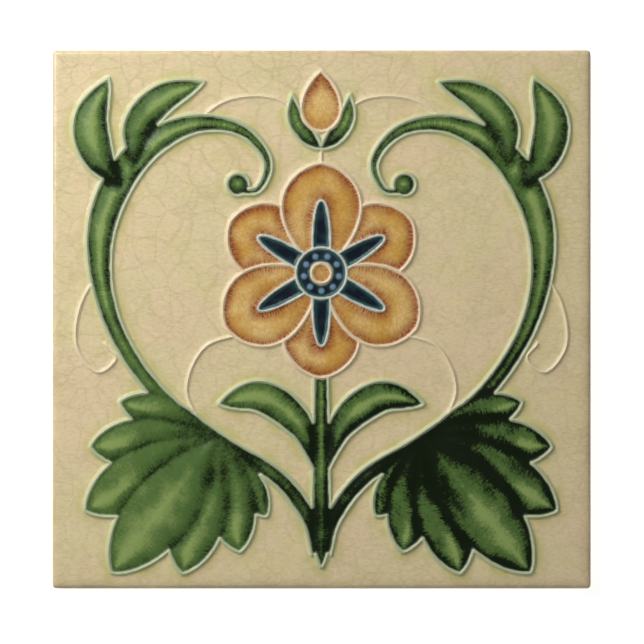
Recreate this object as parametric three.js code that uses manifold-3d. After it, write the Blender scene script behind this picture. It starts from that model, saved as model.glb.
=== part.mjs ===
// Glazed wall tile with a raised-line flower ornament, pressed and fired as one piece.
// Millimetres. The back lies on z = 0, the face looks along +Z, and +Y is the top of the picture.
import * as THREE from "three";
import { mergeVertices } from "three/addons/utils/BufferGeometryUtils.js";
import Module from "manifold-3d";

const wasm = await Module();
wasm.setup();

// Body
const TILE_SIDE = 152.4; // a six-inch tile
const BODY_THICKNESS = 8.5; // back to the flat of the face
const EDGE_ROLL = 2; // radius of the cushioned edge round the face
const BACK_ARRIS = 0.5; // chamfer round the back
const CORNER_RADIUS = 0.8; // upright corners

// Keyed back: grooves either side of a flat land in the middle
const KEY_WIDTH = 6; // a groove's mouth
const KEY_FLOOR = 5; // a groove's floor
const KEY_LAND = 7.2; // flat between two grooves
const KEY_DEPTH = 0.8;
const KEY_BORDER = 10; // least plain border round the grooves

// Raised lines that hold the glazes apart
const LINE_HEIGHT = 0.8;
const LINE_FOOT = 1.6; // width on the face
const LINE_CREST = 0.8; // width of the flat top
const TENDRIL_FOOT = 1.3;
const TENDRIL_CREST = 0.6;
const ORNAMENT_BORDER = 6.2; // plain border round the ornament

// The ornament is drawn on a grid that reaches this far from its middle, the tile's centre.
const GRID_REACH = 70;
const GRID = (TILE_SIDE / 2 - ORNAMENT_BORDER) / GRID_REACH;
const BLOOM = [0, 13];
const LEAF_NODE = [29, -33];

const SAMPLES = 140; // points along a midrib, closer together towards its ends
const CHORD_ERROR = 0.12; // how far a straight piece of a line may leave its curve
const SHARP_TURN = Math.PI / 4; // a line is parted where it turns by more
const SINK = 0.3; // how far a cut or a joined piece runs on past the surface that it meets
const WELD = 1e-3; // points closer than this become one

// Half-widths along a blade, where t runs from 0 at its root to 1 at its tip.
const leafy = (width, root, tip) => (t) => {
  const fullest = root / (root + tip);
  return width * (t / fullest) ** root * ((1 - t) / (1 - fullest)) ** tip;
};
const scroll = (t) => {
  const swelling = 2.3 * Math.exp(-(((t - 0.66) / 0.14) ** 2));
  return 2.3 + swelling - 0.2 * t - 1.3 * Math.max(0, (t - 0.75) / 0.25);
};
const stalk = (t) => 2.9 * Math.min(1, t / 0.12) ** 0.6 - 1.2 * t;

// Midrib from a base at an angle, bowed sideways and hooked at its tip.
function spoke([x, y], degrees, length, bow, hook) {
  const a = THREE.MathUtils.degToRad(degrees);
  return [0, 0.25, 0.5, 0.75, 1].map((t) => {
    const along = length * t;
    const aside = bow * Math.sin(Math.PI * t) + hook * t ** 3;
    return [
      x + along * Math.cos(a) - aside * Math.sin(a),
      y + along * Math.sin(a) + aside * Math.cos(a),
    ];
  });
}

// Fields of glaze in the order in which they lie: each one hides the lines of those before it, and
// no line parts two fields of foliage.
const fields = [];

function addBlade(midrib, halfWidth, foliage = false) {
  const points = midrib.map(([x, y]) => new THREE.Vector3(x, y, 0));
  const curve = new THREE.CatmullRomCurve3(points, false, "centripetal");
  const left = [];
  const right = [];
  for (let i = 0; i <= SAMPLES; i++) {
    const t = (1 - Math.cos((Math.PI * i) / SAMPLES)) / 2;
    const p = curve.getPointAt(t);
    const along = curve.getTangentAt(t);
    const w = Math.max(0, halfWidth(t));
    left.push([p.x - along.y * w, p.y + along.x * w]);
    right.push([p.x + along.y * w, p.y - along.x * w]);
  }
  fields.push({ outline: [...left, ...right.toReversed()], sides: [left, right], foliage });
}

function addDisc([x, y], radius, foliage = false) {
  const rim = [];
  for (let i = 0; i <= SAMPLES; i++) {
    const a = (2 * Math.PI * i) / SAMPLES;
    rim.push([x + radius * Math.cos(a), y + radius * Math.sin(a)]);
  }
  fields.push({ outline: rim, sides: [rim], foliage });
}

const mirrored = (points) => points.map(([x, y]) => [-x, y]);

function addLeafPair(midrib, halfWidth) {
  addBlade(midrib, halfWidth, true);
  addBlade(mirrored(midrib), halfWidth, true);
}

function addSideStems() {
  const route = [
    [0.5, -66], [3, -57], [12, -45], [28, -35], [47, -20], [60, 2], [62, 26],
    [52, 46], [36, 55], [22, 53], [15, 44], [18, 36.5], [23, 36],
  ];
  addLeafPair(route, scroll);
  addDisc([23.5, 38], 3.2, true);
  addDisc([-23.5, 38], 3.2, true);
}

// A hand of seven leaflets, the longest last and on top: angle, length, half-width, bow, hook.
function addLeafHands() {
  const leaflets = [
    [-132, 26, 5.4, 3, 5],
    [29, 29, 5.6, -2, -5],
    [-109, 33, 7.2, 2.5, 5],
    [3, 36, 7.4, -2.5, -5],
    [-81, 40, 8.4, 2, 4],
    [-24, 43, 8.6, -1.5, -4],
    [-52, 49, 9.4, 0, 0],
  ];
  for (const [degrees, length, width, bow, hook] of leaflets)
    addLeafPair(spoke(LEAF_NODE, degrees, length, bow, hook), leafy(width, 1, 0.75));
}

function addShoots() {
  addLeafPair([[57, 38], [63, 46], [65, 56], [60, 68]], leafy(5.2, 0.8, 0.85));
  addLeafPair([[53, 44], [52, 54], [45, 62], [33, 67]], leafy(4.6, 0.8, 0.85));
  addLeafPair([[0.5, -46], [6, -30], [17, -22], [29, -24]], leafy(4.8, 1.3, 0.8));
}

function addStem() {
  addBlade([[0, -70], [0, -55], [0, -20], [0, 0]], stalk, true);
}

function addBloom() {
  for (const degrees of [30, 150, 270])
    addBlade(spoke(BLOOM, degrees, 29.5, 0, 0), leafy(10.8, 0.95, 0.62));
  for (const degrees of [90, 210, 330])
    addBlade(spoke(BLOOM, degrees, 31, 0, 0), leafy(11.2, 0.95, 0.62));
  for (let k = 0; k < 6; k++)
    addBlade(spoke(BLOOM, 30 + 60 * k, 20.5, 0, 0), leafy(2.5, 0.35, 0.45));
  addDisc(BLOOM, 7.2);
  addDisc(BLOOM, 2.8);
}

function addBud() {
  addLeafPair([[0, 48], [4.2, 52], [7.3, 57], [8.2, 63.5]], leafy(2.6, 0.7, 0.9));
  addBlade([[0, 53], [0, 60], [0, 70]], leafy(5.6, 0.55, 0.85));
}

const tendrils = [
  [[36, 55.5], [26, 62], [12, 62], [3, 54], [0.2, 48], [0, 44.2]],
  [[61, 16], [68, 4], [69, -8], [63, -15], [58, -11], [61, -7]],
  [[22, -4], [33, -8], [38, -20], [32, -33]],
];

function isInside([x, y], outline) {
  let inside = false;
  for (let i = 0, j = outline.length - 1; i < outline.length; j = i++) {
    const [xi, yi] = outline[i];
    const [xj, yj] = outline[j];
    if (yi > y !== yj > y && x < ((xj - xi) * (y - yi)) / (yj - yi) + xi) inside = !inside;
  }
  return inside;
}

// Where a straight step from a shown point to a hidden one meets the edge of what hides it.
function crossing(shown, hidden, isHidden) {
  for (let i = 0; i < 12; i++) {
    const middle = [(shown[0] + hidden[0]) / 2, (shown[1] + hidden[1]) / 2];
    if (isHidden(middle)) hidden = middle;
    else shown = middle;
  }
  return shown;
}

// The stretches of a line that none of the given fields hides.
function visibleRuns(line, covers) {
  const isHidden = (point) => covers.some((field) => isInside(point, field.outline));
  const hidden = line.map(isHidden);
  const runs = [[]];
  line.forEach((point, i) => {
    if (hidden[i]) return;
    if (hidden[i - 1]) runs.push([crossing(point, line[i - 1], isHidden)]);
    runs.at(-1).push(point);
    if (hidden[i + 1]) runs.at(-1).push(crossing(point, line[i + 1], isHidden));
  });
  return runs;
}

const distance = ([ax, ay], [bx, by]) => Math.hypot(bx - ax, by - ay);

const lengthOf = (line) => line.slice(1).reduce((sum, p, i) => sum + distance(line[i], p), 0);

// Fewer points that stay within the chord error of the line.
function simplified(line) {
  const first = line[0];
  const last = line.at(-1);
  const span = distance(first, last);
  let far = 0;
  let worst = CHORD_ERROR;
  for (let i = 1; i < line.length - 1; i++) {
    const [px, py] = line[i];
    const area = (last[0] - first[0]) * (first[1] - py) - (first[0] - px) * (last[1] - first[1]);
    const off = span > CHORD_ERROR ? Math.abs(area) / span : distance(first, line[i]);
    if (off > worst) {
      worst = off;
      far = i;
    }
  }
  if (!far) return [first, last];
  return [...simplified(line.slice(0, far + 1)).slice(0, -1), ...simplified(line.slice(far))];
}

const heading = ([ax, ay], [bx, by]) => Math.atan2(by - ay, bx - ax);

// Parts a line at its sharp corners.
function partedAtCorners(line) {
  const parts = [];
  let start = 0;
  for (let i = 1; i < line.length - 1; i++) {
    const turn = heading(line[i], line[i + 1]) - heading(line[i - 1], line[i]);
    if (Math.abs(Math.atan2(Math.sin(turn), Math.cos(turn))) < SHARP_TURN) continue;
    parts.push(line.slice(start, i + 1));
    start = i;
  }
  parts.push(line.slice(start));
  return parts;
}

// Closed solid between level rings of equally many points, given from the lowest to the highest.
function lofted(rings) {
  const count = rings[0].length;
  const indices = [];
  for (let k = 0; k < rings.length - 1; k++)
    for (let i = 0; i < count; i++) {
      const a = k * count + i;
      const b = k * count + ((i + 1) % count);
      indices.push(a, b, b + count, a, b + count, a + count);
    }
  const flat = (ring) => ring.map(([x, y]) => new THREE.Vector2(x, y));
  const top = (rings.length - 1) * count;
  for (const [a, b, c] of THREE.ShapeUtils.triangulateShape(flat(rings[0]), []))
    indices.push(a, c, b);
  for (const [a, b, c] of THREE.ShapeUtils.triangulateShape(flat(rings.at(-1)), []))
    indices.push(top + a, top + b, top + c);
  const geometry = new THREE.BufferGeometry();
  geometry.setAttribute("position", new THREE.Float32BufferAttribute(rings.flat(2), 3));
  geometry.setIndex(indices);
  return solidOf(geometry);
}

function solidOf(geometry) {
  const merged = mergeVertices(geometry, WELD);
  return new wasm.Manifold(
    new wasm.Mesh({
      numProp: 3,
      vertProperties: merged.attributes.position.array,
      triVerts: new Uint32Array(merged.index.array),
    }),
  );
}

// A bar along a line, with chamfered ends, from one level and half-width to another.
function bar(line, low, lowHalf, high, highHalf) {
  const stations = line.map((point, i) => {
    const before = heading(line[Math.max(i - 1, 0)], line[Math.max(i, 1)]);
    const after = heading(line[Math.min(i, line.length - 2)], line[Math.min(i + 1, line.length - 1)]);
    const half = Math.atan2(Math.sin(after - before), Math.cos(after - before)) / 2;
    return { point, angle: before + half, mitre: 1 / Math.cos(half), shift: 0 };
  });
  const nose = { mitre: 0.5, shift: 0.85 };
  stations.unshift({ ...stations[0], ...nose, shift: -nose.shift });
  stations.push({ ...stations.at(-1), ...nose });
  const ring = (half, z) => {
    const side = (sign) =>
      stations.map(({ point: [x, y], angle, mitre, shift }) => [
        x + half * (shift * Math.cos(angle) - sign * mitre * Math.sin(angle)),
        y + half * (shift * Math.sin(angle) + sign * mitre * Math.cos(angle)),
        z,
      ]);
    return [...side(-1), ...side(1).toReversed()];
  };
  return lofted([ring(lowHalf, low), ring(highHalf, high)]);
}

function raisedLine(line, foot, crest) {
  const flare = ((foot - crest) / 2) * (SINK / LINE_HEIGHT);
  const low = BODY_THICKNESS - SINK;
  return bar(line, low, foot / 2 + flare, BODY_THICKNESS + LINE_HEIGHT, crest / 2);
}

function raisedLines() {
  const solids = [];
  const raise = (line, covers, foot, crest) => {
    for (const run of visibleRuns(line, covers)) {
      const placed = run.map(([x, y]) => [x * GRID, y * GRID]);
      if (lengthOf(placed) < LINE_FOOT) continue; // a stray bit between two crossings
      for (const part of partedAtCorners(simplified(placed)))
        solids.push(raisedLine(part, foot, crest));
    }
  };
  fields.forEach((field, i) => {
    const covers = fields.filter((other, j) => j > i || (j < i && other.foliage && field.foliage));
    for (const side of field.sides) raise(side, covers, LINE_FOOT, LINE_CREST);
  });
  for (const route of tendrils)
    for (const points of [route, mirrored(route)]) {
      const curve = new THREE.CatmullRomCurve3(
        points.map(([x, y]) => new THREE.Vector3(x, y, 0)),
        false,
        "centripetal",
      );
      const line = curve.getSpacedPoints(SAMPLES).map(({ x, y }) => [x, y]);
      raise(line, fields, TENDRIL_FOOT, TENDRIL_CREST);
    }
  return solids;
}

// One level outline of the body, drawn in from its sides by an inset.
function bodyRing(inset, z) {
  const middle = TILE_SIDE / 2 - inset - CORNER_RADIUS;
  const ring = [];
  for (let i = 0; i < 4; i++)
    for (const turn of [0, 0.25, 0.5, 0.75, 1]) {
      const corner = (Math.PI / 2) * i + Math.PI / 4;
      const a = (Math.PI / 2) * (i + turn);
      ring.push([
        Math.SQRT2 * middle * Math.cos(corner) + CORNER_RADIUS * Math.cos(a),
        Math.SQRT2 * middle * Math.sin(corner) + CORNER_RADIUS * Math.sin(a),
        z,
      ]);
    }
  return ring;
}

function body() {
  const rings = [bodyRing(BACK_ARRIS, 0), bodyRing(0, BACK_ARRIS)];
  const steps = 6;
  for (let i = 0; i <= steps; i++) {
    const a = (Math.PI / 2) * (i / steps);
    const z = BODY_THICKNESS - EDGE_ROLL * (1 - Math.sin(a));
    rings.push(bodyRing(EDGE_ROLL * (1 - Math.cos(a)), z));
  }
  return lofted(rings);
}

function keyGrooves() {
  const pitch = KEY_WIDTH + KEY_LAND;
  const pairs = Math.floor((TILE_SIDE / 2 - KEY_BORDER) / pitch);
  const end = TILE_SIDE / 2 - KEY_BORDER - KEY_LAND / 2 - KEY_WIDTH / 2;
  const flare = ((KEY_WIDTH - KEY_FLOOR) / 2) * (SINK / KEY_DEPTH);
  const grooves = [];
  for (let k = -pairs; k < pairs; k++) {
    const x = (k + 0.5) * pitch;
    const line = [[x, -end], [x, end]];
    grooves.push(bar(line, -SINK, KEY_WIDTH / 2 + flare, KEY_DEPTH, KEY_FLOOR / 2));
  }
  return grooves;
}

function geometryOf(solid) {
  const { vertProperties, triVerts } = solid.getMesh();
  const geometry = new THREE.BufferGeometry();
  geometry.setAttribute("position", new THREE.BufferAttribute(vertProperties, 3));
  geometry.setIndex(new THREE.BufferAttribute(triVerts, 1));
  return geometry;
}

// Crossing lines leave specks where their edges nearly meet: only the one real body is kept.
function withoutSpecks(solid) {
  const bodies = solidOf(geometryOf(solid)).decompose();
  return bodies.reduce((a, b) => (b.volume() > a.volume() ? b : a));
}

function tileGeometry() {
  let solid = body();
  for (const groove of keyGrooves()) solid = solid.subtract(groove);
  for (const line of raisedLines()) solid = solid.add(line);
  const geometry = geometryOf(withoutSpecks(solid));
  geometry.computeVertexNormals();
  return geometry;
}

addSideStems();
addLeafHands();
addShoots();
addStem();
addBloom();
addBud();

const cream = new THREE.MeshStandardMaterial({ color: 0xdccba0, roughness: 0.15, metalness: 0 });
const tile = new THREE.Mesh(tileGeometry(), cream);
tile.name = "tile";

const root = new THREE.Group();
root.add(tile);

export default root;
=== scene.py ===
"""Glazed wall tile with a raised-line flower ornament: one pressed piece, lying face up."""
import math

import bmesh
import bpy
import numpy as np
from bpy.props import FloatProperty, FloatVectorProperty, IntProperty, PointerProperty
from mathutils import Matrix, Vector, kdtree, noise


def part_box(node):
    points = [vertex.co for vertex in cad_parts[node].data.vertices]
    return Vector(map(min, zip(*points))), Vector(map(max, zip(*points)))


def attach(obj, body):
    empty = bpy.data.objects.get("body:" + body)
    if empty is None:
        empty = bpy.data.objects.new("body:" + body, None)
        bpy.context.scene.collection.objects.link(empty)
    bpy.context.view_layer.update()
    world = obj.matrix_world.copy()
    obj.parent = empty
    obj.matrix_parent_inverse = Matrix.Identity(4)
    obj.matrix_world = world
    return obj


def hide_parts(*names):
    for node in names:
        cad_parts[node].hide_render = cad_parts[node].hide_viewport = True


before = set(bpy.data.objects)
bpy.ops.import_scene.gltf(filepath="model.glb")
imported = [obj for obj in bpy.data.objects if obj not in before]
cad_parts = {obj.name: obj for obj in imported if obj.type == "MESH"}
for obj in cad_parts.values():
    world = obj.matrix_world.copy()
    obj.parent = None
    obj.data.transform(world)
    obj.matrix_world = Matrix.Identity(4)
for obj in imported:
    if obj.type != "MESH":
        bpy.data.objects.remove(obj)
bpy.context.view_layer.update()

bl_info = {
    "name": "Raised-Line Tile",
    "version": (1, 0, 0),
    "blender": (4, 5, 0),
    "location": "3D View > Sidebar > Tile",
    "description": "Presses, glazes and lights one raised-line wall tile",
    "category": "Object",
}

MM = 0.001
TILE_LOW, TILE_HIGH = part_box("tile")
FACE_HALF = (TILE_HIGH.x - TILE_LOW.x) / 2 / MM

# The ornament is drawn on a grid that reaches this far from its middle, the tile's centre.
GRID_REACH = 70.0
BLOOM = (0.0, 13.0)
LEAF_NODE = (29.0, -33.0)
FAR = 20.0  # a distance in millimetres at which a line no longer matters
LINE_OFFSET = 37.7  # added to the run of each next line, so that the hairs beside two lines differ

# The cushioned edge.
SHOULDER = 0.58  # 1 turns the edge over as a quarter circle, and less leaves it squarer
CORNER_POWER = 4  # 2 takes the edge round a corner as a circle, and more leaves it squarer
SHARP_EDGE = math.radians(38)  # where two faces meet at more than this, the shading breaks

# The glazed relief, in millimetres.
LINE_SOFTENING = 0.03  # by how much glaze widens the foot of a line on either side
MENISCUS_HEIGHT, MENISCUS_REACH = 0.24, 1.1  # glaze that climbs the foot of a line
TENDRIL_CREST = 0.82  # share of a line's height
SWELL_REACH = 5.5  # how far from its edge a petal or a leaf stops rising
PETAL_SWELL = 1.1  # times the swell of a leaf
RIB_HEIGHT, RIB_WIDTH = 0.16, 1.1
SLOT_SINK = 0.12
BEAD_HEIGHT, BEAD_TOP, BEAD_FOOT = 0.3, 0.3, 1.1
SWELLS = ((0.045, 23, 3.1), (0.018, 6, 8.7))  # height, breadth and seed of the ground's unevenness
VALLEY = 3.4  # how far a green takes to clear away from its edge
LEE_SHADE_WIDTH = 2.3  # by how much painted shade widens that on a leaf's lower right side, and narrows it on the other
CREST_MARGIN = 0.01  # the rest of the face stays this far under the crests
SKIN_DEPTH = 0.15 * MM  # how deep the finest unevenness goes, which is shading and not shape

# The keyed back.
FLAT = 1e-4  # millimetres within which a face still lies in the back's plane
END_CUTS = 7  # cuts that round one end of a groove

# The stage: places in metres from the tile's middle, offsets in pixels of the picture.
KEY_PLACE, KEY_SIZE = Vector((-0.31, 0.265, 0.37)), 0.4
FILL_PLACE, FILL_SIZE = Vector((0.8, -0.5, 0.7)), 0.6
FLOOR_REACH = 4.0
FLOOR_GAP = 0.05  # millimetres under the tile
PICTURE_WIDTH = 644
OFF_CENTRE = (0.5, -2.7)


def srgb(red, green, blue):
    """A colour as a screen shows it, from 0 to 255, as the linear colour that shaders take."""
    return tuple(
        c / 12.92 if c <= 0.04045 else ((c + 0.055) / 1.055) ** 2.4
        for c in (red / 255, green / 255, blue / 255)
    )


def length(name, description, default, **limits):
    """A size that the sidebar shows in the scene's own units; default is in millimetres."""
    return FloatProperty(
        name=name, description=description, default=default * MM, min=0, unit="LENGTH", **limits
    )


def colour(name, description, *default):
    return FloatVectorProperty(
        name=name, description=description, default=srgb(*default), subtype="COLOR", min=0, max=1
    )


FLOOR_COLOUR, FLOOR_GLOW = srgb(250, 250, 250), 0.8
ROOM_COLOUR = (1, 0.99, 0.97, 1)


class TileSizes(bpy.types.PropertyGroup):
    """Sizes of the pressed tile."""

    line_height: length("Line height", "How far the raised lines stand above the face", 0.8)
    line_foot: length("Line foot", "Width of a raised line where it meets the face", 1.6)
    tendril_foot: length("Tendril foot", "Width of a thin tendril where it meets the face", 1.3)
    border: length("Ornament border", "Plain border round the ornament", 6.2)
    edge_roll: length("Edge roll", "Radius of the cushioned edge round the face", 2.0)
    back_arris: length("Back arris", "Chamfer round the back", 0.5)
    dome: length("Dome", "How far a petal or a leaf swells between its lines", 0.42)
    key_width: length("Key width", "Width of a groove's mouth in the back", 6.0)
    key_floor: length("Key floor", "Width of a groove's floor", 5.0)
    key_land: length("Key land", "Flat between two grooves", 7.2)
    key_depth: length("Key depth", "Depth of the grooves in the back", 0.8)
    key_border: length("Key border", "Least plain border round the grooves", 10.0)
    cells: IntProperty(
        name="Cells",
        description="Cells along one side of the face before it is refined",
        default=124,
        min=20,
    )


class GlazeColours(bpy.types.PropertyGroup):
    """Colours of the glazes and of the clay."""

    cream: colour("Cream", "The ground", 230, 214, 170)
    cream_warm: colour("Warm cream", "Pinkish patches in the ground", 236, 211, 174)
    cream_straw: colour("Straw cream", "Yellower patches in the ground", 229, 214, 160)
    craze: colour("Craze", "Fine cracks in the ground", 178, 160, 112)
    halo: colour("Halo", "Greenish cream close to a green glaze", 196, 190, 112)
    # This colour is also painted shade: it darkens the right and lower rims more than the others.
    grime_and_shade: colour("Grime", "Worn and dirty glaze along the rim", 150, 128, 98)
    arris: colour("Arris", "The dark line where the face meets the sides", 112, 103, 90)
    amber_pale: colour("Pale amber", "Amber where it lies thin", 229, 193, 123)
    amber: colour("Amber", "The middle of a petal", 210, 163, 77)
    amber_deep: colour("Deep amber", "Red-brown where it pools against a line", 146, 68, 34)
    leaf_pale: colour("Pale green", "Green where it lies thin along a rib", 142, 164, 94)
    leaf: colour("Leaf green", "The middle of a leaf", 82, 112, 54)
    leaf_deep: colour("Deep green", "Green where it pools in a valley", 9, 25, 1)
    navy: colour("Navy", "The slots and the heart of the bloom", 12, 23, 36)
    navy_edge: colour("Teal", "Navy where it thins against a line", 38, 80, 82)
    bead: colour("Bead blue", "Dots in the heart of the bloom", 116, 148, 172)
    line_leaf: colour("Mint line", "A raised line beside green", 188, 199, 157)
    line_navy: colour("Cool line", "A raised line beside navy", 208, 214, 200)
    line_petal: colour("Rose line", "A raised line beside amber", 236, 214, 176)
    line_plain: colour("Plain line", "A tendril on the ground", 236, 220, 182)
    clay: colour("Biscuit clay", "The bare body", 206, 184, 150)
    clay_stained: colour("Stained clay", "Clay darkened by age and damp", 174, 147, 110)
    clay_speck: colour("Clay speck", "Specks of iron in the body", 122, 92, 64)
    glaze_run: colour("Glaze run", "Dirty cream that has run down the sides", 210, 193, 153)
    mortar: colour("Mortar", "Traces of the bed that held the tile", 190, 180, 160)


class StageSettings(bpy.types.PropertyGroup):
    """Camera, lights and floor."""

    tile_share: FloatProperty(
        name="Tile share",
        description="Share of the picture's width that the tile takes",
        default=0.8385,
    )
    camera_height: FloatProperty(
        name="Camera height", description="Camera above the face", default=0.8, unit="LENGTH"
    )
    key_power: FloatProperty(
        name="Key light", description="Power of the main light", default=3.36, unit="POWER"
    )
    fill_power: FloatProperty(
        name="Fill light", description="Power of the fill light", default=1.0, unit="POWER"
    )
    room_light: FloatProperty(
        name="Room light", description="Strength of the even light all round", default=0.11
    )


class Field:
    """One glaze field of the ornament: its outline, the sides that carry lines, and its midrib."""

    def __init__(self, glaze, sides, midrib, half_widths, reach):
        self.glaze = glaze
        self.sides = sides
        self.outline = np.concatenate([sides[0], *(s[::-1] for s in sides[1:])])
        self.midrib = midrib
        self.half_widths = half_widths
        self.reach = reach
        self.low = self.outline.min(axis=0)
        self.high = self.outline.max(axis=0)

    def holds(self, points):
        """Which of the points lie inside the outline."""
        found = np.zeros(len(points), bool)
        near = np.flatnonzero(((points > self.low) & (points < self.high)).all(axis=1))
        x, y = points[near].T
        inside = np.zeros(len(near), bool)
        for (x0, y0), (x1, y1) in zip(self.outline, np.roll(self.outline, -1, axis=0)):
            if y0 == y1:
                continue
            crosses = (y0 > y) != (y1 > y)
            inside ^= crosses & (x < (x1 - x0) * (y - y0) / (y1 - y0) + x0)
        found[near] = inside
        return found


def leafy(width, root, tip):
    """Half-width of a leaf or petal that swells and closes with powers of its length."""
    fullest = root / (root + tip)
    return lambda t: width * (t / fullest) ** root * ((1 - t) / (1 - fullest)) ** tip


def scroll(t):
    """Half-width of a side stem, which swells where the shoots leave it."""
    swelling = 2.3 * np.exp(-(((t - 0.66) / 0.14) ** 2))
    return 2.3 + swelling - 0.2 * t - 1.3 * np.maximum(0, (t - 0.75) / 0.25)


def stalk(t):
    """Half-width of the middle stem, blunt at its foot and thinner towards the bloom."""
    return 2.9 * np.minimum(1, t / 0.12) ** 0.6 - 1.2 * t


def curve_through(points, spacing=0.3):
    """Centripetal Catmull-Rom curve through the points, as closely spaced points."""
    knots = [np.array(p, float) for p in points]
    knots = [2 * knots[0] - knots[1], *knots, 2 * knots[-1] - knots[-2]]
    pieces = []
    for a, b, c, d in zip(knots, knots[1:], knots[2:], knots[3:]):
        ab, bc, cd = (math.sqrt(np.linalg.norm(q - p)) for p, q in ((a, b), (b, c), (c, d)))
        leaving = ((b - a) / ab - (c - a) / (ab + bc) + (c - b) / bc) * bc
        arriving = ((c - b) / bc - (d - b) / (bc + cd) + (d - c) / cd) * bc
        count = max(2, math.ceil(np.linalg.norm(c - b) / spacing))
        t = np.linspace(0, 1, count, endpoint=False)[:, None]
        pieces.append(
            (2 * t**3 - 3 * t**2 + 1) * b
            + (t**3 - 2 * t**2 + t) * leaving
            + (3 * t**2 - 2 * t**3) * c
            + (t**3 - t**2) * arriving
        )
    return np.concatenate([*pieces, [knots[-2]]])


def along(line):
    """Distance from the first point to each point of a line."""
    return np.concatenate([[0], np.cumsum(np.linalg.norm(np.diff(line, axis=0), axis=1))])


def resampled(line, distances):
    whole = along(line)
    return np.stack([np.interp(distances, whole, line[:, k]) for k in (0, 1)], axis=1)


def blade(glaze, midrib, half_width, samples=140):
    """A field with a midrib through a few points; samples lie closer together towards its ends."""
    curve = curve_through(midrib)
    t = (1 - np.cos(np.pi * np.arange(samples + 1) / samples)) / 2
    distances = t * along(curve)[-1]
    points = resampled(curve, distances)
    heading = np.gradient(points, axis=0)
    heading /= np.linalg.norm(heading, axis=1)[:, None]
    aside = np.stack([-heading[:, 1], heading[:, 0]], axis=1)
    widths = np.maximum(half_width(t), 0)
    sides = [points + aside * widths[:, None], points - aside * widths[:, None]]
    return Field(glaze, sides, points, widths, t)


def disc(glaze, centre, radius, samples=96):
    a = np.linspace(0, 2 * np.pi, samples + 1)
    rim = np.array(centre) + radius * np.stack([np.cos(a), np.sin(a)], axis=1)
    middle = np.array([centre, centre]) + np.array([[0, 0], [1e-3, 0]])
    return Field(glaze, [rim], middle, np.array([radius, radius]), np.array([0.5, 0.5]))


def mirrored(points):
    return [(-x, y) for x, y in points]


def leaf_pair(midrib, half_width):
    return [blade("green", midrib, half_width), blade("green", mirrored(midrib), half_width)]


def spoke(base, degrees, reach, bow=0, hook=0):
    """Midrib from a base at an angle, bowed sideways and hooked at its tip."""
    a = math.radians(degrees)
    ahead = np.array((math.cos(a), math.sin(a)))
    aside = np.array((-math.sin(a), math.cos(a)))
    return [
        tuple(base + ahead * reach * t + aside * (bow * math.sin(math.pi * t) + hook * t**3))
        for t in (0, 0.25, 0.5, 0.75, 1)
    ]


def side_stems():
    route = [
        (0.5, -66), (3, -57), (12, -45), (28, -35), (47, -20), (60, 2), (62, 26),
        (52, 46), (36, 55), (22, 53), (15, 44), (18, 36.5), (23, 36),
    ]
    curls = [disc("green", (23.5, 38), 3.2), disc("green", (-23.5, 38), 3.2)]
    return leaf_pair(route, scroll) + curls


def leaf_hands():
    """A hand of seven leaflets either side, the longest last and on top."""
    leaflets = (
        (-132, 26, 5.4, 3, 5),
        (29, 29, 5.6, -2, -5),
        (-109, 33, 7.2, 2.5, 5),
        (3, 36, 7.4, -2.5, -5),
        (-81, 40, 8.4, 2, 4),
        (-24, 43, 8.6, -1.5, -4),
        (-52, 49, 9.4, 0, 0),
    )
    hands = []
    for degrees, reach, width, bow, hook in leaflets:
        hands += leaf_pair(spoke(LEAF_NODE, degrees, reach, bow, hook), leafy(width, 1, 0.75))
    return hands


def shoots():
    return (
        leaf_pair([(57, 38), (63, 46), (65, 56), (60, 68)], leafy(5.2, 0.8, 0.85))
        + leaf_pair([(53, 44), (52, 54), (45, 62), (33, 67)], leafy(4.6, 0.8, 0.85))
        + leaf_pair([(0.5, -46), (6, -30), (17, -22), (29, -24)], leafy(4.8, 1.3, 0.8))
    )


def stem():
    return [blade("green", [(0, -70), (0, -55), (0, -20), (0, 0)], stalk)]


def bloom():
    """Six petals, every other one on top, with a slot in each, and the heart over them."""
    under, over, slot = leafy(10.8, 0.95, 0.62), leafy(11.2, 0.95, 0.62), leafy(2.5, 0.35, 0.45)
    petals = [blade("amber", spoke(BLOOM, a, 29.5), under) for a in (30, 150, 270)]
    petals += [blade("amber", spoke(BLOOM, a, 31), over) for a in (90, 210, 330)]
    slots = [blade("navy", spoke(BLOOM, a, 20.5), slot) for a in range(30, 390, 60)]
    return petals + slots + [disc("navy", BLOOM, 7.2), disc("amber", BLOOM, 2.8)]


def bud():
    sepals = leaf_pair([(0, 48), (4.2, 52), (7.3, 57), (8.2, 63.5)], leafy(2.6, 0.7, 0.9))
    return sepals + [blade("amber", [(0, 53), (0, 60), (0, 70)], leafy(5.6, 0.55, 0.85))]


def bead_centres():
    """Blue dots in a ring round the heart of the bloom."""
    count, ring = 9, 5.0
    turns = [2 * math.pi * (k + 0.5) / count + math.pi / 2 for k in range(count)]
    x, y = BLOOM
    return np.array([(x + ring * math.cos(a), y + ring * math.sin(a)) for a in turns])


def tendrils():
    routes = (
        [(36, 55.5), (26, 62), (12, 62), (3, 54), (0.2, 48), (0, 44.2)],
        [(61, 16), (68, 4), (69, -8), (63, -15), (58, -11), (61, -7)],
        [(22, -4), (33, -8), (38, -20), (32, -33)],
    )
    return [curve_through(side) for route in routes for side in (route, mirrored(route))]


def visible_runs(line, covers, shortest, step=0.1):
    """The stretches of a line that no cover hides, but for stray bits between two crossings."""
    line = resampled(line, np.arange(0, along(line)[-1] + step, step))
    shown = np.ones(len(line), bool)
    for cover in covers:
        shown &= ~cover.holds(line)
    edges = np.flatnonzero(np.diff(np.concatenate([[False], shown, [False]]).astype(int)))
    return [line[a:b] for a, b in zip(edges[::2], edges[1::2]) if (b - a) * step > shortest]


GLAZES = ("green", "amber", "navy", "plain")


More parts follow.
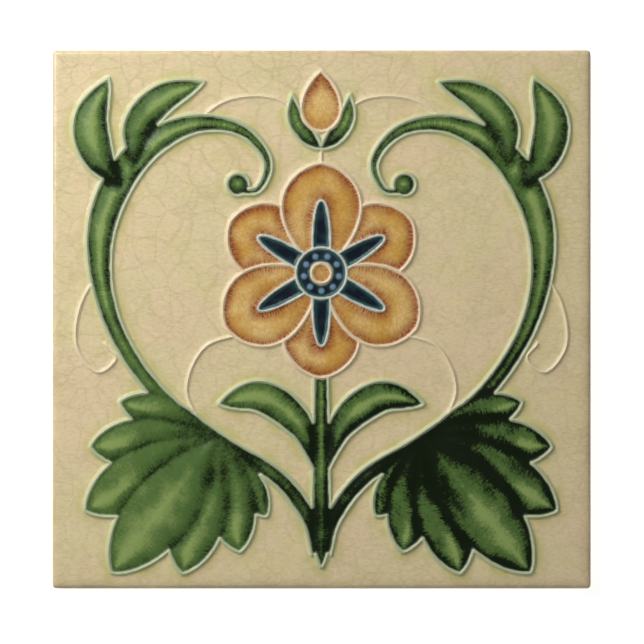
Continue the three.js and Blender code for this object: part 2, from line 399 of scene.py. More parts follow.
class Nearest:
    """Distance from any point to the nearest of some lines, and that line's glaze."""

    def __init__(self, lines):
        self.glazes = np.array([GLAZES.index(glaze) for line, glaze in lines for _ in line])
        self.points = np.concatenate([line for line, _ in lines])
        headings = [np.gradient(line, axis=0) for line, _ in lines]
        self.headings = np.concatenate([h / np.linalg.norm(h, axis=1)[:, None] for h in headings])
        runs = [along(line) + LINE_OFFSET * i for i, (line, _) in enumerate(lines)]
        self.runs = np.concatenate(runs)
        self.tree = kdtree.KDTree(len(self.points))
        for i, (x, y) in enumerate(self.points):
            self.tree.insert((x, y, 0), i)
        self.tree.balance()

    def __call__(self, points):
        """Distance to the nearest line, its glaze, how far along it that is, and the offset."""
        found = np.array([self.tree.find((x, y, 0))[1] for x, y in points])
        offset = points - self.points[found]
        gaps = np.minimum(np.linalg.norm(offset, axis=1), FAR)
        ahead = (offset * self.headings[found]).sum(axis=1)
        return gaps, self.glazes[found], self.runs[found] + ahead, offset


class Ornament:
    """The whole drawing in millimetres: glaze fields from the lowest up, and their lines."""

    def __init__(self, side, border, line_width):
        self.grid = (side / 2 - border) / GRID_REACH
        self.fields = side_stems() + leaf_hands() + shoots() + stem() + bloom() + bud()
        self.beads = bead_centres()
        raised, seams = [], []
        for i, field in enumerate(self.fields):
            above = self.fields[i + 1 :]
            foliage = [f for f in self.fields[:i] if f.glaze == field.glaze == "green"]
            for edge in field.sides:
                outer = visible_runs(edge, above + foliage, line_width)
                raised += [(run, field.glaze) for run in outer]
                seams += [(run, field.glaze) for run in visible_runs(edge, above, line_width)]
        for route in tendrils():
            raised += [(run, "plain") for run in visible_runs(route, self.fields, line_width)]
        self.raised = Nearest(raised)
        self.seams = Nearest(seams)

    def read(self, points):
        """What the drawing says at each point, given in millimetres from the tile's centre."""
        drawn = points / self.grid
        line_gap, line_glaze, *_ = self.raised(drawn)
        seam_gap, _, seam_run, seam_offset = self.seams(drawn)
        # Painted shade: which side of its seam a point lies on, so that greens darken more along
        # each leaf's lower right edge.
        shade = (seam_offset * (0.7, -0.7)).sum(axis=1) / np.maximum(seam_gap, 0.3)
        top = np.full(len(drawn), -1)
        for i, field in enumerate(self.fields):
            top[field.holds(drawn)] = i
        rib = np.zeros((len(drawn), 3))
        reach = np.zeros(len(drawn))
        glaze = np.zeros((len(drawn), 3))
        for i, field in enumerate(self.fields):
            held = np.flatnonzero(top == i)
            if len(held):
                rib[held], reach[held] = self.across(field, drawn[held])
                glaze[held, GLAZES.index(field.glaze)] = 1
        bead_gap = np.min([np.linalg.norm(drawn - b, axis=1) for b in self.beads], axis=0)
        return {
            "line_gap": line_gap,
            "line_kind": line_glaze,
            "seam_gap": seam_gap,
            "seam_run": seam_run,
            "shade": np.clip(-shade, -1, 1),
            "bead_gap": np.minimum(bead_gap, FAR),
            "glaze": glaze,
            "rib": rib,
            "reach": reach,
        }

    @staticmethod
    def across(field, points):
        """Distance along and across the midrib, then the shares of the width and of the length."""
        start = field.midrib[:-1]
        step = np.diff(field.midrib, axis=0)
        size = np.maximum((step**2).sum(axis=1), 1e-12)
        offset = points[:, None] - start
        share = np.clip((offset * step).sum(axis=2) / size, 0, 1)
        gap = np.linalg.norm(offset - share[..., None] * step, axis=2)
        nearest = gap.argmin(axis=1)
        rows = np.arange(len(points))
        share, gap, offset = share[rows, nearest], gap[rows, nearest], offset[rows, nearest]
        turn = step[nearest, 0] * offset[:, 1] - step[nearest, 1] * offset[:, 0]
        distance = along(field.midrib)
        travelled = distance[nearest] + share * np.sqrt(size[nearest])
        width = field.half_widths[nearest] * (1 - share) + field.half_widths[nearest + 1] * share
        reach = field.reach[nearest] * (1 - share) + field.reach[nearest + 1] * share
        share_out = np.clip(gap / np.maximum(width, 0.2), 0, 1)
        return np.stack([travelled, np.sign(turn) * gap, share_out], axis=1), reach


def smooth_step(low, high, value):
    t = np.clip((value - low) / (high - low), 0, 1)
    return t * t * (3 - 2 * t)


def rough(points, size, seed):
    """Gentle unevenness from -1 to 1, with swells of about the given size."""
    return np.array([noise.noise((x / size, y / size, seed)) for x, y in points])


def relief(points, drawing, sizes):
    """Height of the glazed face above its flat, in millimetres."""
    height = sizes.line_height / MM
    tendril = drawing["line_kind"] == GLAZES.index("plain")
    foot = np.where(tendril, sizes.tendril_foot, sizes.line_foot) / MM / 2
    crest = np.where(tendril, TENDRIL_CREST, 1.0)
    line = crest * (1 - smooth_step(0.0, foot + LINE_SOFTENING, drawing["line_gap"]))
    meniscus = MENISCUS_HEIGHT * np.exp(-drawing["line_gap"] / MENISCUS_REACH)
    green, amber, navy = drawing["glaze"].T
    swell = sizes.dome / MM * (1 - (1 - np.clip(drawing["seam_gap"] / SWELL_REACH, 0, 1)) ** 2)
    rib = np.exp(-((drawing["rib"][:, 1] / RIB_WIDTH) ** 2)) * np.clip(1 - drawing["reach"], 0, 1)
    field = green * (swell + RIB_HEIGHT * rib) + amber * PETAL_SWELL * swell - SLOT_SINK * navy
    bead = BEAD_HEIGHT * (1 - smooth_step(BEAD_TOP, BEAD_FOOT, drawing["bead_gap"]))
    ground = sum(high * rough(points, size, seed) for high, size, seed in SWELLS)
    rest = field + bead + ground + meniscus
    return np.minimum(line * height + (1 - line) * rest, height - CREST_MARGIN)


def crowded(share, amount=0.06, power=15):
    """A share of the way from the middle to the edge, with the outer rows drawn together."""
    return (1 + amount) * share - amount * share**power


def edge_rolled(flat, half, roll):
    """Wraps the flat sheet round the cushioned edge: its plan, and its drop from the face."""
    turn = np.clip((np.abs(flat) - (half - roll)) / roll, 0, np.pi / 2)
    out = roll * np.sin(turn) ** SHOULDER
    furthest = out.max(axis=1)
    corner = (out**CORNER_POWER).sum(axis=1) ** (1 / CORNER_POWER)
    share = np.where(corner > 1e-9, furthest / np.maximum(corner, 1e-9), 1)
    inner = np.minimum(np.abs(flat), half - roll)
    plan = np.sign(flat) * (inner + out * share[:, None])
    drop = roll * (1 - np.maximum(np.cos(turn.max(axis=1)), 0) ** SHOULDER)
    return plan, drop


def flat_of(bm):
    """Where the sheet's points lie, seen from above."""
    return np.array([v.co[:2] for v in bm.verts])


def refine(bm, wanted):
    """Cuts the edges whose two ends are both wanted."""
    bm.verts.index_update()
    edges = [e for e in bm.edges if wanted[e.verts[0].index] and wanted[e.verts[1].index]]
    bmesh.ops.subdivide_edges(bm, edges=edges, cuts=1, use_grid_fill=True)


def press_face(bm, ornament, sizes, half, top):
    """The glazed face as a fine sheet, finer near the lines, wrapped round the cushioned edge."""
    roll = sizes.edge_roll / MM
    sheet = half - roll + roll * math.pi / 2
    bmesh.ops.create_grid(bm, x_segments=sizes.cells, y_segments=sizes.cells, size=sheet)
    for vert in bm.verts:
        vert.co.xy = [sheet * crowded(place / sheet) for place in vert.co.xy]
    cell = 2 * sheet / sizes.cells
    foot = sizes.line_foot / MM / 2
    flat = flat_of(bm)
    drawn = flat / ornament.grid
    lines = ornament.raised(drawn)[0] < foot + 1.5 * cell
    seams = ornament.seams(drawn)[0] < foot + cell
    covered = np.any([field.holds(drawn) for field in ornament.fields], axis=0)
    border = sheet - np.abs(flat).max(axis=1) < roll * math.pi / 2 + cell
    refine(bm, lines | seams | covered | border)
    refine(bm, ornament.raised(flat_of(bm) / ornament.grid)[0] < foot + cell / 2)
    plan, drop = edge_rolled(flat_of(bm), half, roll)
    drawing = ornament.read(plan)
    heights = top - drop + relief(plan, drawing, sizes)
    for vert, (x, y), z in zip(bm.verts, plan, heights):
        vert.co = (x, y, z)


def close_body(bm, sizes):
    """Side walls and a back with a chamfer round it."""
    arris = sizes.back_arris / MM
    half = max(v.co.x for v in bm.verts)
    rim = [e for e in bm.edges if e.is_boundary]
    for level, inset in ((arris, 0), (0, arris)):
        made = bmesh.ops.extrude_edge_only(bm, edges=rim)["geom"]
        for vert in (g for g in made if isinstance(g, bmesh.types.BMVert)):
            vert.co.x *= 1 - inset / half
            vert.co.y *= 1 - inset / half
            vert.co.z = level
        rim = [g for g in made if isinstance(g, bmesh.types.BMEdge) and g.is_boundary]
    bmesh.ops.holes_fill(bm, edges=rim)


def cut_keys(bm, sizes, half):
    """Grooves with round ends and sloping walls in the back."""
    width, land = sizes.key_width / MM, sizes.key_land / MM
    border = sizes.key_border / MM
    pitch = width + land
    pairs = math.floor((half - border) / pitch)
    end = half - border - land / 2
    middles = [(k + 0.5) * pitch for k in range(-pairs, pairs)]
    walls = sorted(x + side * width / 2 for x in middles for side in (-1, 1))

    def slice_back(faces, at, normal):
        geometry = {g for f in faces for g in (f, *f.edges, *f.verts)}
        bmesh.ops.bisect_plane(bm, geom=list(geometry), plane_co=at, plane_no=normal, dist=1e-5)

    def back_faces(inside=lambda centre: True):
        faces = (f for f in bm.faces if f.normal.z < -0.99 and f.calc_center_median().z < FLAT)
        return [f for f in faces if inside(f.calc_center_bounds())]

    bm.normal_update()
    for x in walls:
        slice_back(back_faces(), (x, 0, 0), (1, 0, 0))

    def on_groove(centre):
        return min(abs(centre.x - x) for x in middles) < width / 4

    for y in (-end, end):
        slice_back(back_faces(on_groove), (0, y, 0), (0, 1, 0))
    grooves = back_faces(lambda centre: on_groove(centre) and abs(centre.y) < end / 2)

    def at_end(vert):
        return abs(abs(vert.co.y) - end) < 10 * FLAT

    ends = [e for f in grooves for e in f.edges if at_end(e.verts[0]) and at_end(e.verts[1])]
    bmesh.ops.subdivide_edges(bm, edges=ends, cuts=END_CUTS)
    for vert in {v for f in grooves for v in f.verts if at_end(v)}:
        middle = min(middles, key=lambda x: abs(vert.co.x - x))
        share = min(1, abs(vert.co.x - middle) / (width / 2))
        drawn_in = width / 2 * (1 - math.sqrt(1 - share**2))
        vert.co.y -= math.copysign(drawn_in, vert.co.y)
    slope = (width - sizes.key_floor / MM) / 2
    bmesh.ops.inset_individual(bm, faces=grooves, thickness=slope, depth=-sizes.key_depth / MM)


def press_tile(sizes):
    top = (TILE_HIGH.z - sizes.line_height) / MM
    ornament = Ornament(2 * FACE_HALF, sizes.border / MM, sizes.line_foot / MM)
    bm = bmesh.new()
    press_face(bm, ornament, sizes, FACE_HALF, top)
    close_body(bm, sizes)
    cut_keys(bm, sizes, FACE_HALF)
    shoulder = top - sizes.edge_roll / MM
    for face in bm.faces:
        face.material_index = 0 if face.calc_center_median().z > shoulder else 1
        face.smooth = True
    bmesh.ops.recalc_face_normals(bm, faces=bm.faces)
    mesh = bpy.data.meshes.new("pressed_tile")
    bm.to_mesh(mesh)
    bm.free()
    write_drawing(mesh, ornament)
    mesh.transform(Matrix.Scale(MM, 4))
    mesh.set_sharp_from_angle(angle=SHARP_EDGE)
    for _ in range(2):
        mesh.materials.append(None)
    return mesh


def write_drawing(mesh, ornament):
    """Keeps what the drawing says at each point as attributes that the glazes read."""
    points = np.empty(len(mesh.vertices) * 3)
    mesh.vertices.foreach_get("co", points)
    drawing = ornament.read(points.reshape(-1, 3)[:, :2])
    kinds = [(drawing["line_kind"] == k).astype(float) for k in range(len(GLAZES))]
    drawing["line_glaze"] = np.stack(kinds[:3], axis=1)
    drawing["tendril"] = kinds[3]
    for name in ("line_gap", "seam_gap", "seam_run", "shade", "bead_gap", "reach", "tendril"):
        mesh.attributes.new(name, "FLOAT", "POINT").data.foreach_set("value", drawing[name])
    for name in ("glaze", "line_glaze", "rib"):
        made = mesh.attributes.new(name, "FLOAT_VECTOR", "POINT")
        made.data.foreach_set("vector", drawing[name].ravel())


class Recipe:
    """Short names for the shader nodes of one finish."""

    def __init__(self, material):
        material.use_nodes = True
        self.tree = material.node_tree
        self.tree.nodes.clear()
        self.mm = self.scaled(self.add("ShaderNodeTexCoord").outputs["Object"], 1 / MM)
        self.east, self.north, self.height = self.parts(self.mm)

    def add(self, kind, **settings):
        made = self.tree.nodes.new(kind)
        for name, value in settings.items():
            setattr(made, name, value)
        return made

    def feed(self, socket, value):
        if isinstance(value, bpy.types.NodeSocket):
            self.tree.links.new(value, socket)
        elif hasattr(socket.default_value, "__len__") and len(socket.default_value) == 4:
            socket.default_value = (*value, 1) if len(value) == 3 else value
        else:
            socket.default_value = value

    def math(self, operation, a, b=0.0):
        made = self.add("ShaderNodeMath", operation=operation)
        self.feed(made.inputs[0], a)
        self.feed(made.inputs[1], b)
        return made.outputs[0]

    def plus(self, a, b):
        return self.math("ADD", a, b)

    def times(self, a, b):
        return self.math("MULTIPLY", a, b)

    def minus(self, a, b):
        return self.math("SUBTRACT", a, b)

    def fade(self, value, low, high, start=0.0, end=1.0):
        """Runs smoothly from start to end while the value runs from low to high."""
        made = self.add("ShaderNodeMapRange", interpolation_type="SMOOTHSTEP")
        names = ("Value", "From Min", "From Max", "To Min", "To Max")
        for name, given in zip(names, (value, low, high, start, end)):
            self.feed(made.inputs[name], given)
        return made.outputs["Result"]

    def blend(self, share, a, b):
        made = self.add("ShaderNodeMix", data_type="RGBA")
        self.feed(made.inputs[0], share)
        self.feed(made.inputs[6], a)
        self.feed(made.inputs[7], b)
        return made.outputs[2]

    def scaled(self, vector, scale, offset=(0, 0, 0)):
        made = self.add("ShaderNodeMapping")
        self.feed(made.inputs["Vector"], vector)
        made.inputs["Scale"].default_value = (scale,) * 3 if isinstance(scale, float) else scale
        made.inputs["Location"].default_value = offset
        return made.outputs["Vector"]

    def noise(self, vector, size, detail=2.0, roughness=0.5):
        """Noise from 0 to 1 with swells of about the given size."""
        made = self.add("ShaderNodeTexNoise")
        self.feed(made.inputs["Vector"], vector)
        made.inputs["Scale"].default_value = 1 / size
        made.inputs["Detail"].default_value = detail
        made.inputs["Roughness"].default_value = roughness
        return made.outputs["Fac"]

    def patches(self, size, offset, low, high, start=0.0, end=1.0, detail=3.0):
        """Soft patches of about the given size, set apart from other patches by the offset."""
        cloud = self.noise(self.scaled(self.mm, 1.0, offset), size, detail=detail)
        return self.fade(cloud, low, high, start, end)

    def cracks(self, vector, size, width):
        """Fine lines round cells of about the given size: 1 on a line and 0 off it."""
        made = self.add("ShaderNodeTexVoronoi", feature="DISTANCE_TO_EDGE")
        self.feed(made.inputs["Vector"], vector)
        made.inputs["Scale"].default_value = 1 / size
        return self.fade(made.outputs["Distance"], 0.0, width / size, 1.0, 0.0)

    def drifted(self, vector, size, amount):
        """The place moved about by noise, so that straight patterns wander."""
        made = self.add("ShaderNodeTexNoise")
        self.feed(made.inputs["Vector"], vector)
        made.inputs["Scale"].default_value = 1 / size
        moved = self.add("ShaderNodeVectorMath", operation="MULTIPLY_ADD")
        self.feed(moved.inputs[0], made.outputs["Color"])
        moved.inputs[1].default_value = (amount, amount, 0)
        self.feed(moved.inputs[2], vector)
        return moved.outputs["Vector"]

    def attribute(self, name, part="Fac"):
        return self.add("ShaderNodeAttribute", attribute_name=name).outputs[part]

    def parts(self, vector):
        made = self.add("ShaderNodeSeparateXYZ")
        self.feed(made.inputs[0], vector)
        return made.outputs[0], made.outputs[1], made.outputs[2]

    def joined(self, x, y):
        made = self.add("ShaderNodeCombineXYZ")
        for socket, value in zip(made.inputs, (x, y)):
            self.feed(socket, value)
        return made.outputs[0]

    def skin(self, height):
        """The surface's direction, disturbed as if it rose and fell by the given share."""
        made = self.add("ShaderNodeBump")
        self.feed(made.inputs["Height"], height)
        made.inputs["Distance"].default_value = SKIN_DEPTH
        return made.outputs["Normal"]

    def finish(self, **inputs):
        shader = self.add("ShaderNodeBsdfPrincipled")
        for name, value in inputs.items():
            self.feed(shader.inputs[name.replace("_", " ")], value)
        output = self.add("ShaderNodeOutputMaterial")
        self.tree.links.new(shader.outputs[0], output.inputs[0])


def hairs(recipe, run, aside, pitch, reach):
    """Fine hair lines that run aside, as a draining glaze leaves them, from 0 to 1."""
    stretched = recipe.joined(recipe.times(run, 1 / pitch), recipe.times(aside, 1 / reach))
    return recipe.noise(recipe.drifted(stretched, 3.0, 1.2), 1.0, detail=2.0, roughness=0.55)


def cream_ground(recipe, colours):
    """Cream glaze with cloudy patches, wandering craze lines and short level cracks."""
    warm = recipe.fade(recipe.noise(recipe.mm, 16.0, detail=3.0), 0.42, 0.62, 0.0, 0.75)
    base = recipe.blend(warm, colours.cream, colours.cream_warm)
    straw = recipe.patches(11.0, (31, 7, 0), 0.5, 0.68, end=0.6)
    base = recipe.blend(straw, base, colours.cream_straw)
    blush = recipe.patches(1.9, (3, 17, 0), 0.5, 0.68, end=0.3, detail=2.0)
    base = recipe.blend(blush, base, colours.cream_warm)
    sallow = recipe.patches(2.3, (71, 5, 0), 0.5, 0.68, end=0.3, detail=2.0)
    base = recipe.blend(sallow, base, colours.cream_straw)
    wander = recipe.drifted(recipe.mm, 14.0, 9.0)
    crazed = recipe.fade(recipe.minus(recipe.east, recipe.north), -110.0, 20.0, 0.2, 0.11)
    network = recipe.times(recipe.cracks(wander, 6.5, 0.6), crazed)
    level = recipe.scaled(recipe.drifted(recipe.mm, 5.0, 2.0), (0.45, 1.0, 1.0))
    fine = recipe.cracks(level, 1.7, 0.5)
    patchy = recipe.patches(13.0, (5, 60, 0), 0.35, 0.65, start=0.3, detail=2.0)
    marks = recipe.plus(network, recipe.times(recipe.times(fine, patchy), 0.16))
    grain = recipe.noise(recipe.scaled(recipe.mm, (0.5, 1.0, 1.0)), 0.6, detail=3.0)
    marks = recipe.plus(marks, recipe.fade(grain, 0.42, 0.72, 0.0, 0.2))
    return recipe.blend(marks, base, colours.craze), marks


def leaf_glaze(recipe, colours, rib, seam, shade, reach):
    """Green, thin on the ribs and pooled in the valleys, with painted shade: darker along each
    leaf's lower right edge and towards the tile's lower right.
    """
    run, aside, share = recipe.parts(rib)
    strands = hairs(recipe, run, aside, 0.38, 2.4)
    # Pooled glaze, widened by painted shade along each leaf's lower right edge.
    pool_and_shade = recipe.plus(VALLEY, recipe.times(recipe.times(shade, share), LEE_SHADE_WIDTH))
    inside = recipe.fade(recipe.plus(seam, recipe.fade(strands, 0.3, 0.7, -0.3, 0.3)), -0.2, pool_and_shade)
    ridge = recipe.fade(share, 0.0, 0.6, 1.0, 0.0)
    rib_line = recipe.fade(recipe.math("ABSOLUTE", aside), 0.1, 0.9, 0.14, 0.0)
    grown = recipe.fade(reach, 0.05, 0.6, 0.25, 1.0)
    mottle = recipe.fade(recipe.noise(recipe.mm, 6.5, detail=4.0), 0.3, 0.7, -0.14, 0.14)
    fine = recipe.fade(strands, 0.3, 0.7, -0.055, 0.055)
    light = recipe.plus(recipe.plus(0.5, recipe.times(ridge, 0.42)), rib_line)
    light = recipe.times(recipe.times(inside, grown), light)
    speckle = recipe.fade(recipe.noise(recipe.mm, 0.8, detail=3.0), 0.3, 0.7, -0.07, 0.07)
    light = recipe.plus(recipe.plus(recipe.plus(light, mottle), fine), speckle)
    # Painted shade: in the lower part of the tile the greens darken towards the right and lighten
    # a little towards the left.
    lower_half = recipe.fade(recipe.north, -25.0, 10.0, 1.0, 0.0)
    depth = recipe.times(recipe.fade(recipe.east, -45.0, 50.0, -0.18, 0.42), lower_half)
    light = recipe.minus(recipe.times(light, recipe.plus(depth, 1.0)), depth)
    deep = recipe.blend(recipe.fade(light, -0.04, 0.44), colours.leaf_deep, colours.leaf)
    return recipe.blend(recipe.fade(light, 0.44, 1.05), deep, colours.leaf_pale)


def petal_glaze(recipe, colours, seam, seam_run, reach):
    """Amber with fine crackle, red-brown where it drains against the outer lines in strands."""
    strands = hairs(recipe, seam_run, seam, 0.5, 2.8)
    uneven = recipe.fade(recipe.noise(recipe.mm, 9.0), 0.35, 0.65, -0.7, 0.7)
    pooled = recipe.plus(recipe.plus(seam, uneven), recipe.fade(strands, 0.3, 0.7, -0.9, 0.9))
    towards_tip = recipe.fade(reach, 0.3, 0.75, 0.45, 1.0)
    edge = recipe.times(recipe.fade(pooled, 0.0, 4.2, 1.0, 0.0), towards_tip)
    cloud = recipe.patches(10.0, (11, 23, 0), 0.35, 0.65)
    base = recipe.blend(cloud, colours.amber, colours.amber_pale)
    crackle = recipe.cracks(recipe.drifted(recipe.mm, 3.0, 1.6), 1.5, 0.2)
    base = recipe.blend(recipe.times(crackle, 0.22), base, colours.amber_deep)
    stripes = recipe.fade(strands, 0.4, 0.58, 0.62, 1.0)
    fine = recipe.times(recipe.fade(strands, 0.46, 0.6), recipe.fade(seam, 0.4, 4.4, 0.42, 0.0))
    return recipe.blend(recipe.plus(recipe.times(edge, stripes), fine), base, colours.amber_deep)


def navy_glaze(recipe, colours, seam):
    """Dark blue that turns to teal where it lies thin."""
    patch = recipe.fade(recipe.noise(recipe.mm, 4.0), 0.45, 0.7)
    thin = recipe.fade(seam, 0.6, 1.5, 0.9, 0.0)
    teal = recipe.plus(thin, recipe.times(patch, 0.3))
    return recipe.blend(teal, colours.navy, colours.navy_edge)


def rim_grime_and_lee_shade(recipe):
    """How far out a place lies, and how dark its rim is there: grime all round, and painted shade
    on the right and lower rims.
    """
    sideways, upwards = recipe.math("ABSOLUTE", recipe.east), recipe.math("ABSOLUTE", recipe.north)
    outward = recipe.math("MAXIMUM", sideways, upwards)
    lee = recipe.math("MAXIMUM", recipe.east, recipe.times(recipe.north, -1.0))
    uneven = recipe.fade(recipe.noise(recipe.mm, 9.0, detail=2.0), 0.3, 0.7, -0.5, 0.5)
    outermost = FACE_HALF + 0.1
    around = recipe.fade(recipe.plus(outward, uneven), FACE_HALF - 1.4, outermost, 0.0, 0.26)
    # Painted shade: extra darkening on the right and lower rims only.
    lee_shade = recipe.fade(recipe.plus(lee, uneven), FACE_HALF - 4.4, outermost, 0.0, 0.24)
    return outward, recipe.plus(around, lee_shade)


def face_glaze(colours):
    """All the glazes of the face, laid out by the drawing's attributes."""
    material = bpy.data.materials.new("majolica_glaze")
    recipe = Recipe(material)
    line = recipe.attribute("line_gap")
    seam = recipe.attribute("seam_gap")
    seam_run = recipe.attribute("seam_run")
    shade = recipe.attribute("shade")
    reach = recipe.attribute("reach")
    bead = recipe.attribute("bead_gap")
    tendril = recipe.attribute("tendril")
    rib = recipe.attribute("rib", "Vector")
    green, amber, navy = recipe.parts(recipe.attribute("glaze", "Vector"))
    line_glaze = recipe.attribute("line_glaze", "Vector")
    beside_green, beside_amber, beside_navy = recipe.parts(line_glaze)

    ground, marks = cream_ground(recipe, colours)
    halo = recipe.times(recipe.fade(line, 0.5, 4.2, 0.7, 0.0), beside_green)
    halo = recipe.times(halo, recipe.fade(recipe.noise(recipe.mm, 7.0), 0.38, 0.64, 0.15, 1.0))
    ground = recipe.blend(halo, ground, colours.halo)
    tone = recipe.blend(green, ground, leaf_glaze(recipe, colours, rib, seam, shade, reach))
    tone = recipe.blend(amber, tone, petal_glaze(recipe, colours, seam, seam_run, reach))
    tone = recipe.blend(navy, tone, navy_glaze(recipe, colours, seam))
    tone = recipe.blend(recipe.fade(bead, 0.4, 1.25, 0.95, 0.0), tone, colours.bead)

    lip = recipe.blend(beside_green, colours.line_plain, colours.line_leaf)
    lip = recipe.blend(beside_amber, lip, colours.line_petal)
    lip = recipe.blend(beside_navy, lip, colours.line_navy)
    uneven = recipe.fade(recipe.noise(recipe.mm, 2.5, detail=3.0), 0.3, 0.7, -0.1, 0.1)
    thinner = recipe.plus(recipe.times(tendril, 0.14), recipe.times(beside_navy, 0.18))
    spread = recipe.plus(recipe.plus(line, thinner), uneven)
    on_line = recipe.fade(spread, 0.32, 0.8, 1.0, 0.0)
    tone = recipe.blend(recipe.times(on_line, 0.93), tone, lip)

    # Grime all round the rim, with painted shade on the right and lower rims.
    outward, rim = rim_grime_and_lee_shade(recipe)
    tone = recipe.blend(rim, tone, colours.grime_and_shade)
    edge = recipe.fade(outward, FACE_HALF - 0.5, FACE_HALF - 0.1, 0.0, 0.28)
    tone = recipe.blend(edge, tone, colours.arris)

    ripple = recipe.noise(recipe.mm, 3.2, detail=2.0)
    unevenness = recipe.minus(recipe.times(ripple, 0.35), recipe.times(marks, 0.12))
    gloss = recipe.fade(recipe.noise(recipe.mm, 8.0, detail=3.0), 0.3, 0.7, 0.18, 0.3)
    dulled = recipe.fade(line, 0.7, 1.2, 1.0, 0.0)
    recipe.finish(
        Base_Color=tone,
        Roughness=recipe.plus(gloss, recipe.times(recipe.plus(dulled, rim), 0.25)),
        Normal=recipe.skin(unevenness),
    )
    return material


def biscuit_clay(colours):
    """Bare fired clay, stained by age, with glaze that has run a little way down the sides."""
    material = bpy.data.materials.new("biscuit_clay")
    recipe = Recipe(material)
    grain = recipe.noise(recipe.mm, 0.5, detail=4.0, roughness=0.7)
    clouds = recipe.noise(recipe.mm, 14.0, detail=5.0, roughness=0.6)
    stains = recipe.fade(clouds, 0.4, 0.66, 0.0, 0.6)
    clay = recipe.blend(stains, colours.clay, colours.clay_stained)
    specks = recipe.fade(recipe.noise(recipe.mm, 0.9, detail=1.0), 0.7, 0.76, 0.0, 0.45)
    clay = recipe.blend(specks, clay, colours.clay_speck)
    wander = recipe.scaled(recipe.drifted(recipe.mm, 9.0, 14.0), 1.0, (40, 9, 3))
    mortar = recipe.fade(recipe.noise(wander, 17.0, detail=6.0, roughness=0.6), 0.55, 0.64)
    clay = recipe.blend(recipe.times(mortar, 0.55), clay, colours.mortar)
    runs = recipe.noise(recipe.scaled(recipe.mm, (1.0, 1.0, 0.12)), 4.5, detail=3.0)
    glazed = recipe.fade(recipe.plus(recipe.height, recipe.times(runs, 5.0)), 6.7, 6.95)
    tone = recipe.blend(glazed, clay, colours.glaze_run)
    crust = recipe.plus(glazed, mortar)
    unevenness = recipe.plus(recipe.times(grain, 0.7), recipe.times(crust, 0.6))
    recipe.finish(
        Base_Color=tone,
        Roughness=recipe.fade(glazed, 0.0, 1.0, 0.88, 0.22),
        Normal=recipe.skin(unevenness),
    )
    return material


class OBJECT_OT_press_tile(bpy.types.Operator):
    """Press the tile in one piece: face with its raised lines, sides and keyed back"""

    bl_idname = "object.press_tile"
    bl_label = "Press Tile"

    def execute(self, context):
        piece = bpy.data.objects.new("pressed_tile", press_tile(context.scene.tile_sizes))
        context.collection.objects.link(piece)
        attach(piece, "root")
        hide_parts("tile")
        return {"FINISHED"}


class OBJECT_OT_glaze_tile(bpy.types.Operator):
    """Glaze the face and leave the clay bare on the sides and the back"""

    bl_idname = "object.glaze_tile"
    bl_label = "Glaze Tile"

    def execute(self, context):
        mesh = bpy.data.objects["pressed_tile"].data
        mesh.materials[0] = face_glaze(context.scene.glaze_colours)
        mesh.materials[1] = biscuit_clay(context.scene.glaze_colours)
        return {"FINISHED"}


class SCENE_OT_lay_tile_stage(bpy.types.Operator):
    """Set the floor, the lights and the camera straight above the tile"""

    bl_idname = "scene.lay_tile_stage"
    bl_label = "Lay Stage"

    def execute(self, context):
        stage = context.scene.stage_settings
        lay_floor(context)
        lay_lights(context, stage)
        lay_camera(context, stage)
        context.scene.view_settings.view_transform = "Standard"
        return {"FINISHED"}


def lay_floor(context):
    bm = bmesh.new()
    bmesh.ops.create_grid(bm, x_segments=1, y_segments=1, size=FLOOR_REACH)
    mesh = bpy.data.meshes.new("floor")
    bm.to_mesh(mesh)
    bm.free()
    material = bpy.data.materials.new("pale_floor")
    recipe = Recipe(material)
    recipe.finish(
        Base_Color=FLOOR_COLOUR,
        Roughness=0.9,
        Emission_Color=(1, 1, 1),
        Emission_Strength=FLOOR_GLOW,
    )
    mesh.materials.append(material)
    floor = bpy.data.objects.new("floor", mesh)
    floor.location.z = -FLOOR_GAP * MM
    context.collection.objects.link(floor)


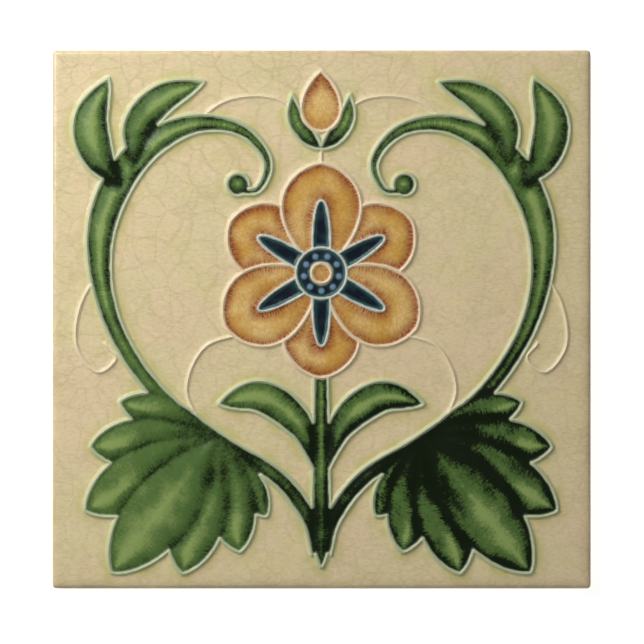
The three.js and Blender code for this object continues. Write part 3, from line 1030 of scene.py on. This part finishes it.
def lay_lights(context, stage):
    """A soft window light from the upper left, a weak fill, and even light all round."""
    centre = (TILE_LOW + TILE_HIGH) / 2
    for name, offset, size, power in (
        ("key_light", KEY_PLACE, KEY_SIZE, stage.key_power),
        ("fill_light", FILL_PLACE, FILL_SIZE, stage.fill_power),
    ):
        data = bpy.data.lights.new(name, "AREA")
        data.shape = "SQUARE"
        data.size = size
        data.energy = power
        lamp = bpy.data.objects.new(name, data)
        lamp.location = centre + offset
        lamp.rotation_euler = (-offset).to_track_quat("-Z", "Y").to_euler()
        context.collection.objects.link(lamp)
    world = bpy.data.worlds.new("room")
    world.use_nodes = True
    background = world.node_tree.nodes["Background"]
    background.inputs["Color"].default_value = ROOM_COLOUR
    background.inputs["Strength"].default_value = stage.room_light
    context.scene.world = world


def lay_camera(context, stage):
    data = bpy.data.cameras.new("camera")
    face_width = TILE_HIGH.x - TILE_LOW.x
    data.lens = data.sensor_width * stage.camera_height * stage.tile_share / face_width
    data.shift_x, data.shift_y = (pixels / PICTURE_WIDTH for pixels in OFF_CENTRE)
    camera = bpy.data.objects.new("camera", data)
    camera.location = (0, 0, TILE_HIGH.z + stage.camera_height)
    context.collection.objects.link(camera)
    context.scene.camera = camera


class VIEW3D_PT_tile_maker(bpy.types.Panel):
    """Tile maker in the sidebar"""

    bl_label = "Raised-Line Tile"
    bl_idname = "VIEW3D_PT_tile_maker"
    bl_space_type = "VIEW_3D"
    bl_region_type = "UI"
    bl_category = "Tile"

    def draw(self, context):
        scene = context.scene
        for operator in STEPS:
            self.layout.operator(operator.bl_idname)
        for settings in (scene.tile_sizes, scene.glaze_colours, scene.stage_settings):
            box = self.layout.box()
            for name in settings.__annotations__:
                box.prop(settings, name)


STEPS = (OBJECT_OT_press_tile, OBJECT_OT_glaze_tile, SCENE_OT_lay_tile_stage)
CLASSES = (TileSizes, GlazeColours, StageSettings, *STEPS, VIEW3D_PT_tile_maker)


def register():
    for cls in CLASSES:
        bpy.utils.register_class(cls)
    bpy.types.Scene.tile_sizes = PointerProperty(type=TileSizes)
    bpy.types.Scene.glaze_colours = PointerProperty(type=GlazeColours)
    bpy.types.Scene.stage_settings = PointerProperty(type=StageSettings)


def unregister():
    del bpy.types.Scene.stage_settings
    del bpy.types.Scene.glaze_colours
    del bpy.types.Scene.tile_sizes
    for cls in reversed(CLASSES):
        bpy.utils.unregister_class(cls)


def main():
    register()
    bpy.ops.object.press_tile()
    bpy.ops.object.glaze_tile()
    bpy.ops.scene.lay_tile_stage()


if __name__ == "__main__":
    main()
